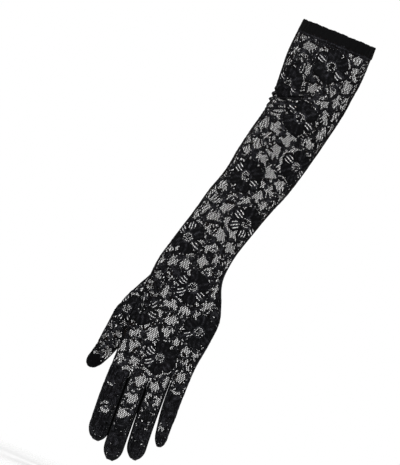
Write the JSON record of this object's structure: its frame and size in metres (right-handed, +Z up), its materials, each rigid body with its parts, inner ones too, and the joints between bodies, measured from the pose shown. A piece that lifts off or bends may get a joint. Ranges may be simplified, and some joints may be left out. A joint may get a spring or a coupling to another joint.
{
  "type": "long lace evening glove",
  "caption": "Long fitted left evening glove of black floral stretch lace, with full fingers and a plain doubled band at the arm opening.",
  "frame": {"origin": "middle of the arm opening, in the plane of the hem's edge", "axes": "+Z up out of the arm opening, away from the fingers; +X towards the little finger side; +Y towards the palm, so -Y faces out from the back of the hand"},
  "size_m": [0.1386, 0.0634, 0.4432],
  "materials": {
    "lace": "black floral stretch lace with a see-through net ground, matt with a faint thread sheen",
    "hem_knit": "dense plain black stretch knit, doubled and flat",
    "strip_knit": "dense plain black stretch knit with a fine rib"
  },
  "bodies": {
    "root": {"hem_band": "hem_knit", "upper_sleeve_back": "lace", "lower_sleeve_back": "lace", "hand_back": "lace", "index_back": "lace", "middle_back": "lace", "ring_back": "lace", "little_back": "lace", "upper_sleeve_palm": "lace", "lower_sleeve_palm": "lace", "hand_palm": "lace", "index_palm": "lace", "middle_palm": "lace", "ring_palm": "lace", "little_palm": "lace", "thumb": "lace", "fourchette_index_middle": "strip_knit", "fourchette_middle_ring": "strip_knit", "fourchette_ring_little": "strip_knit"}
  },
  "joints": []
}
